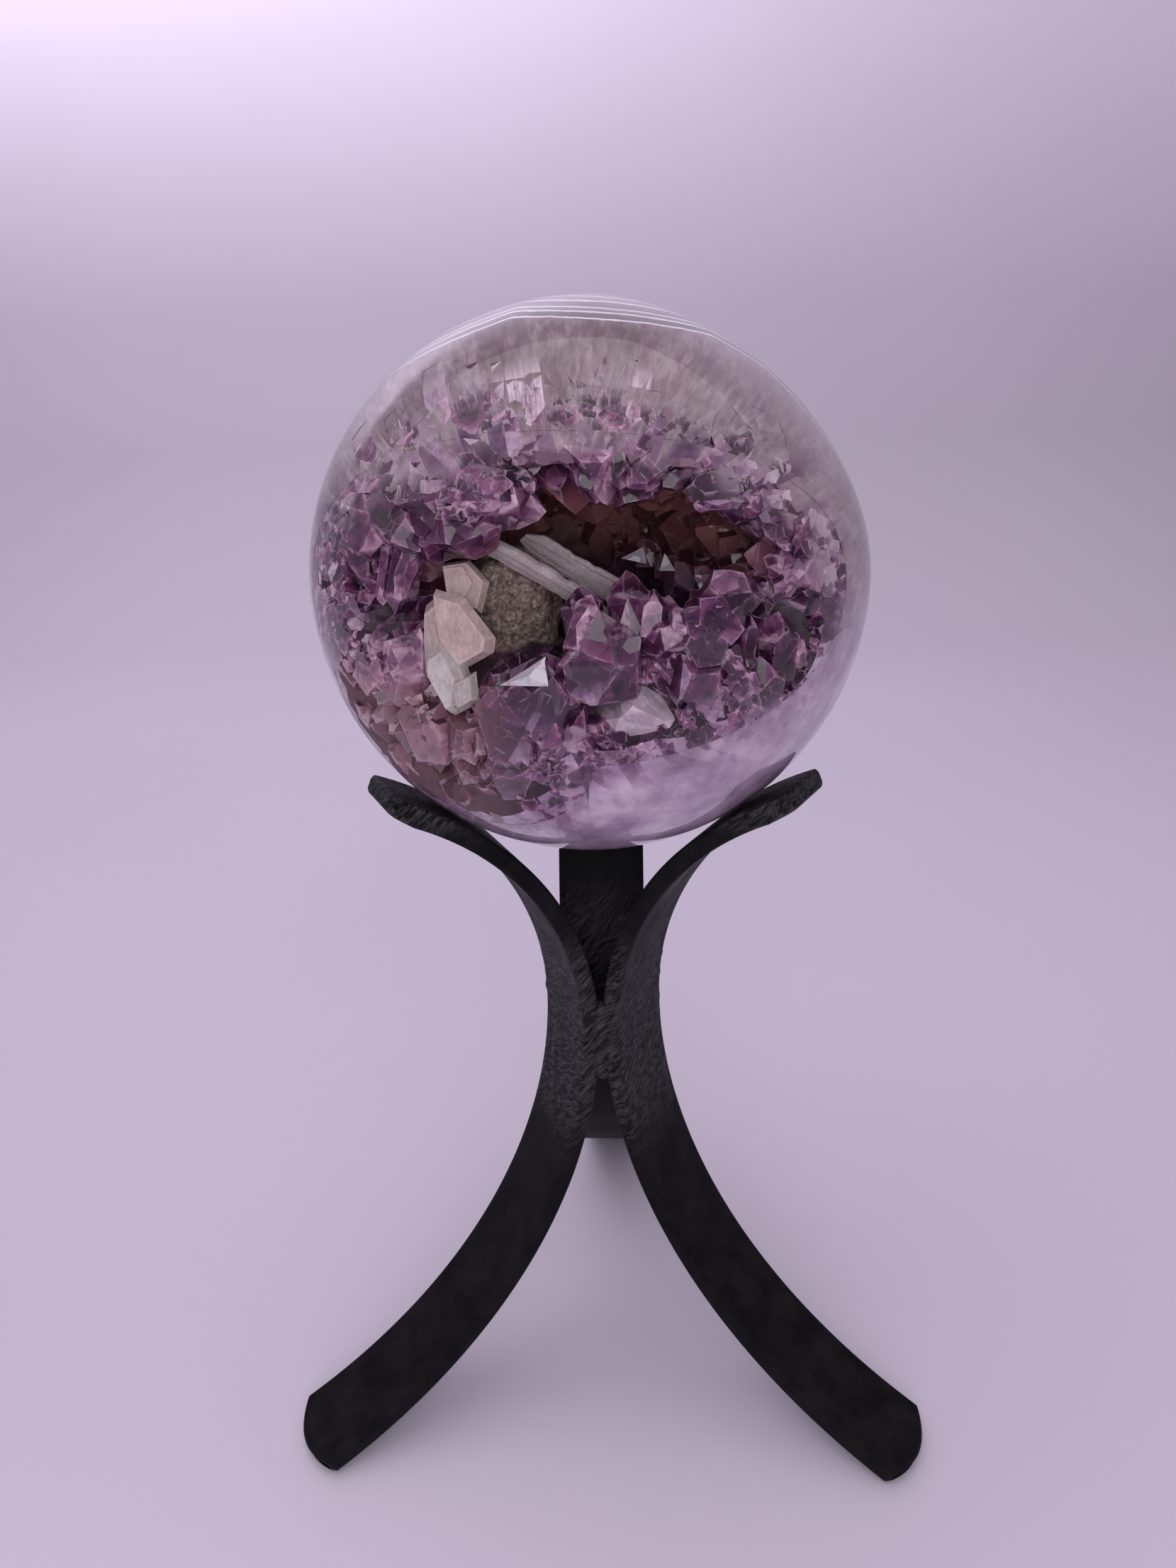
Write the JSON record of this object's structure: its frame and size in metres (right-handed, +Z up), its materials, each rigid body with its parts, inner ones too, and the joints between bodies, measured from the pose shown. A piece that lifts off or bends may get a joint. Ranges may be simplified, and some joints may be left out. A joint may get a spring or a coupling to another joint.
{
  "type": "amethyst sphere",
  "caption": "Polished ball of amethyst geode with an open crystal-lined hollow, resting on a three-legged stand of bent flat bar.",
  "frame": {"origin": "on the floor, under the middle of the object's box", "axes": "+Z up, +Y along the back bar of the stand, -Y the way the stone's hollow opens"},
  "size_m": [0.184, 0.1702, 0.3098],
  "materials": {
    "quartz": "polished, cloudy and part see-through",
    "amethyst": "natural crystal faces, polished where the ball's surface cuts them",
    "calcite": "waxy, part see-through",
    "steel": "matte black"
  },
  "bodies": {
    "root": {"quartz_ball": "quartz", "amethyst_crust": "amethyst", "calcite_blade": "calcite", "calcite_blade_rear": "calcite", "calcite_plate": "calcite", "calcite_plate_small": "calcite", "bar_back": "steel", "bar_left": "steel", "bar_right": "steel", "weld_front": "steel", "weld_right": "steel", "weld_left": "steel"}
  },
  "joints": []
}
